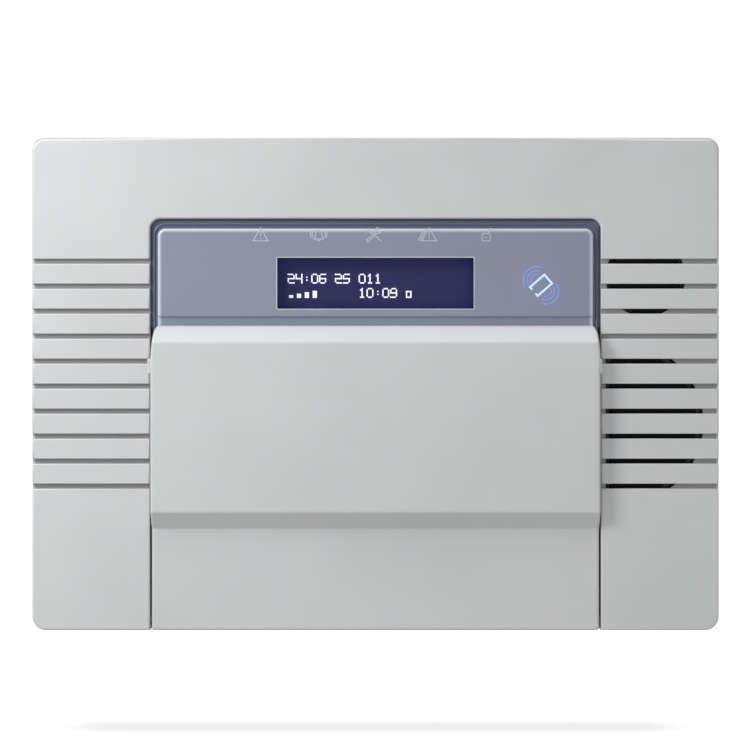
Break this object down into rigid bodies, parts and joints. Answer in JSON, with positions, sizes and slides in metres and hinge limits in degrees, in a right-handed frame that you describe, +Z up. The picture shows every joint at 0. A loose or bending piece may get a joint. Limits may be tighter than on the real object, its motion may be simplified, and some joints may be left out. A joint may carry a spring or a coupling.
{
  "type": "fire alarm control panel",
  "caption": "Wall-mounted alarm panel: display window, sounder grille, drop-down flap over a keypad, and a top-hinged cover over its boards, transformer and battery.",
  "frame": {"origin": "centre of the rear case's flat back face, on the wall", "axes": "+Z up, +Y into the wall so the front faces -Y, +X to the right as the panel is seen from the front"},
  "size_m": [0.297, 0.055, 0.213],
  "materials": {
    "case_plastic": "fine moulded grain",
    "cover_plastic": "fine moulded grain",
    "fascia_plastic": "satin",
    "key_plastic": "satin",
    "lens_plastic": "tinted, glossy",
    "black_rubber": "matt",
    "brass": "turned",
    "zinc_steel": "zinc plated",
    "green_board": "solder resist",
    "terminal_plastic": "satin",
    "black_plastic": "satin",
    "relay_plastic": "glossy",
    "capacitor_sleeve": "shrunk sleeve",
    "core_steel": "varnished laminations",
    "winding_tape": "polyester tape",
    "mains_plastic": "satin",
    "fuse_metal": "nickel plated",
    "battery_wrap": "printed wrap",
    "strap_plastic": "satin",
    "red_lead": "soft insulation",
    "antenna_wire": "drawn",
    "red_plastic": "satin",
    "ribbon_plastic": "ribbed",
    "backlight_plastic": "diffusing",
    "lcd_glass": "polarised",
    "lcd_metal": "black plated",
    "led_resin": "clear resin",
    "coil_copper": "enamelled",
    "cone_paper": "pressed paper"
  },
  "bodies": {
    "case": {"rear_case": "case_plastic", "cable_grommets": "black_rubber", "threaded_inserts": "brass", "hinge_pins": "zinc_steel", "main_board": "green_board", "board_screws": "zinc_steel", "terminal_blocks": "terminal_plastic", "terminal_screws": "zinc_steel", "microchips": "black_plastic", "relays": "relay_plastic", "capacitors": "capacitor_sleeve", "pin_headers": "black_plastic", "transformer_core": "core_steel", "transformer_winding": "winding_tape", "mains_terminal": "mains_plastic", "mains_fuse": "fuse_metal", "battery_cells": "battery_wrap", "battery_strap": "strap_plastic", "battery_lead": "red_lead", "radio_board": "green_board", "radio_shield": "zinc_steel", "antenna": "antenna_wire", "tamper_switch": "black_plastic", "tamper_spring": "zinc_steel", "ribbon_cable": "ribbon_plastic"},
    "tamper_plunger": {"tamper_plunger": "red_plastic"},
    "lid": {"front_cover": "cover_plastic", "display_lens": "lens_plastic", "keypad_fascia": "fascia_plastic", "key_mat": "black_rubber", "keypad_board": "green_board", "lcd_backlight": "backlight_plastic", "lcd_glass": "lcd_glass", "lcd_frame": "lcd_metal", "status_leds": "led_resin", "tag_coil": "coil_copper", "speaker_basket": "black_plastic", "speaker_cone": "cone_paper", "siren_housing": "black_plastic", "siren_disc": "brass", "sounder_leads": "red_lead", "self_tapping_screws": "zinc_steel", "lid_screws": "zinc_steel"},
    "flap": {"keypad_flap": "cover_plastic"},
    "key_1": {"key_1": "key_plastic"},
    "key_2": {"key_2": "key_plastic"},
    "key_3": {"key_3": "key_plastic"},
    "key_up": {"key_up": "key_plastic"},
    "key_4": {"key_4": "key_plastic"},
    "key_5": {"key_5": "key_plastic"},
    "key_6": {"key_6": "key_plastic"},
    "key_down": {"key_down": "key_plastic"},
    "key_7": {"key_7": "key_plastic"},
    "key_8": {"key_8": "key_plastic"},
    "key_9": {"key_9": "key_plastic"},
    "key_menu": {"key_menu": "key_plastic"},
    "key_cancel": {"key_cancel": "key_plastic"},
    "key_0": {"key_0": "key_plastic"},
    "key_accept": {"key_accept": "key_plastic"},
    "key_alarm": {"key_alarm": "key_plastic"}
  },
  "joints": [
    {"name": "lid_hinge", "type": "hinge", "parent": "case", "child": "lid", "pos_m": [0, -0.0065, 0.101], "axis": [-1, 0, 0], "range_deg": [0, 85], "deforming": ["ribbon_cable"]},
    {"name": "flap_hinge", "type": "hinge", "parent": "lid", "child": "flap", "pos_m": [0, -0.0433, -0.1016], "axis": [1, 0, 0], "range_deg": [0, 105]},
    {"name": "tamper_slide", "type": "slide", "parent": "case", "child": "tamper_plunger", "axis": [0, -1, 0], "range_m": [0, 0.002], "deforming": ["tamper_spring"]},
    {"name": "key_1_press", "type": "slide", "parent": "lid", "child": "key_1", "axis": [0, 1, 0], "range_m": [0, 0.0012], "stiffness_N_per_m": 400},
    {"name": "key_2_press", "type": "slide", "parent": "lid", "child": "key_2", "axis": [0, 1, 0], "range_m": [0, 0.0012], "stiffness_N_per_m": 400},
    {"name": "key_3_press", "type": "slide", "parent": "lid", "child": "key_3", "axis": [0, 1, 0], "range_m": [0, 0.0012], "stiffness_N_per_m": 400},
    {"name": "key_up_press", "type": "slide", "parent": "lid", "child": "key_up", "axis": [0, 1, 0], "range_m": [0, 0.0012], "stiffness_N_per_m": 400},
    {"name": "key_4_press", "type": "slide", "parent": "lid", "child": "key_4", "axis": [0, 1, 0], "range_m": [0, 0.0012], "stiffness_N_per_m": 400},
    {"name": "key_5_press", "type": "slide", "parent": "lid", "child": "key_5", "axis": [0, 1, 0], "range_m": [0, 0.0012], "stiffness_N_per_m": 400},
    {"name": "key_6_press", "type": "slide", "parent": "lid", "child": "key_6", "axis": [0, 1, 0], "range_m": [0, 0.0012], "stiffness_N_per_m": 400},
    {"name": "key_down_press", "type": "slide", "parent": "lid", "child": "key_down", "axis": [0, 1, 0], "range_m": [0, 0.0012], "stiffness_N_per_m": 400},
    {"name": "key_7_press", "type": "slide", "parent": "lid", "child": "key_7", "axis": [0, 1, 0], "range_m": [0, 0.0012], "stiffness_N_per_m": 400},
    {"name": "key_8_press", "type": "slide", "parent": "lid", "child": "key_8", "axis": [0, 1, 0], "range_m": [0, 0.0012], "stiffness_N_per_m": 400},
    {"name": "key_9_press", "type": "slide", "parent": "lid", "child": "key_9", "axis": [0, 1, 0], "range_m": [0, 0.0012], "stiffness_N_per_m": 400},
    {"name": "key_menu_press", "type": "slide", "parent": "lid", "child": "key_menu", "axis": [0, 1, 0], "range_m": [0, 0.0012], "stiffness_N_per_m": 400},
    {"name": "key_cancel_press", "type": "slide", "parent": "lid", "child": "key_cancel", "axis": [0, 1, 0], "range_m": [0, 0.0012], "stiffness_N_per_m": 400},
    {"name": "key_0_press", "type": "slide", "parent": "lid", "child": "key_0", "axis": [0, 1, 0], "range_m": [0, 0.0012], "stiffness_N_per_m": 400},
    {"name": "key_accept_press", "type": "slide", "parent": "lid", "child": "key_accept", "axis": [0, 1, 0], "range_m": [0, 0.0012], "stiffness_N_per_m": 400},
    {"name": "key_alarm_press", "type": "slide", "parent": "lid", "child": "key_alarm", "axis": [0, 1, 0], "range_m": [0, 0.0012], "stiffness_N_per_m": 400}
  ],
  "couplings": [
    {"joint": "tamper_slide", "follows": "lid_hinge", "m_per_rad": 0.001348}
  ]
}
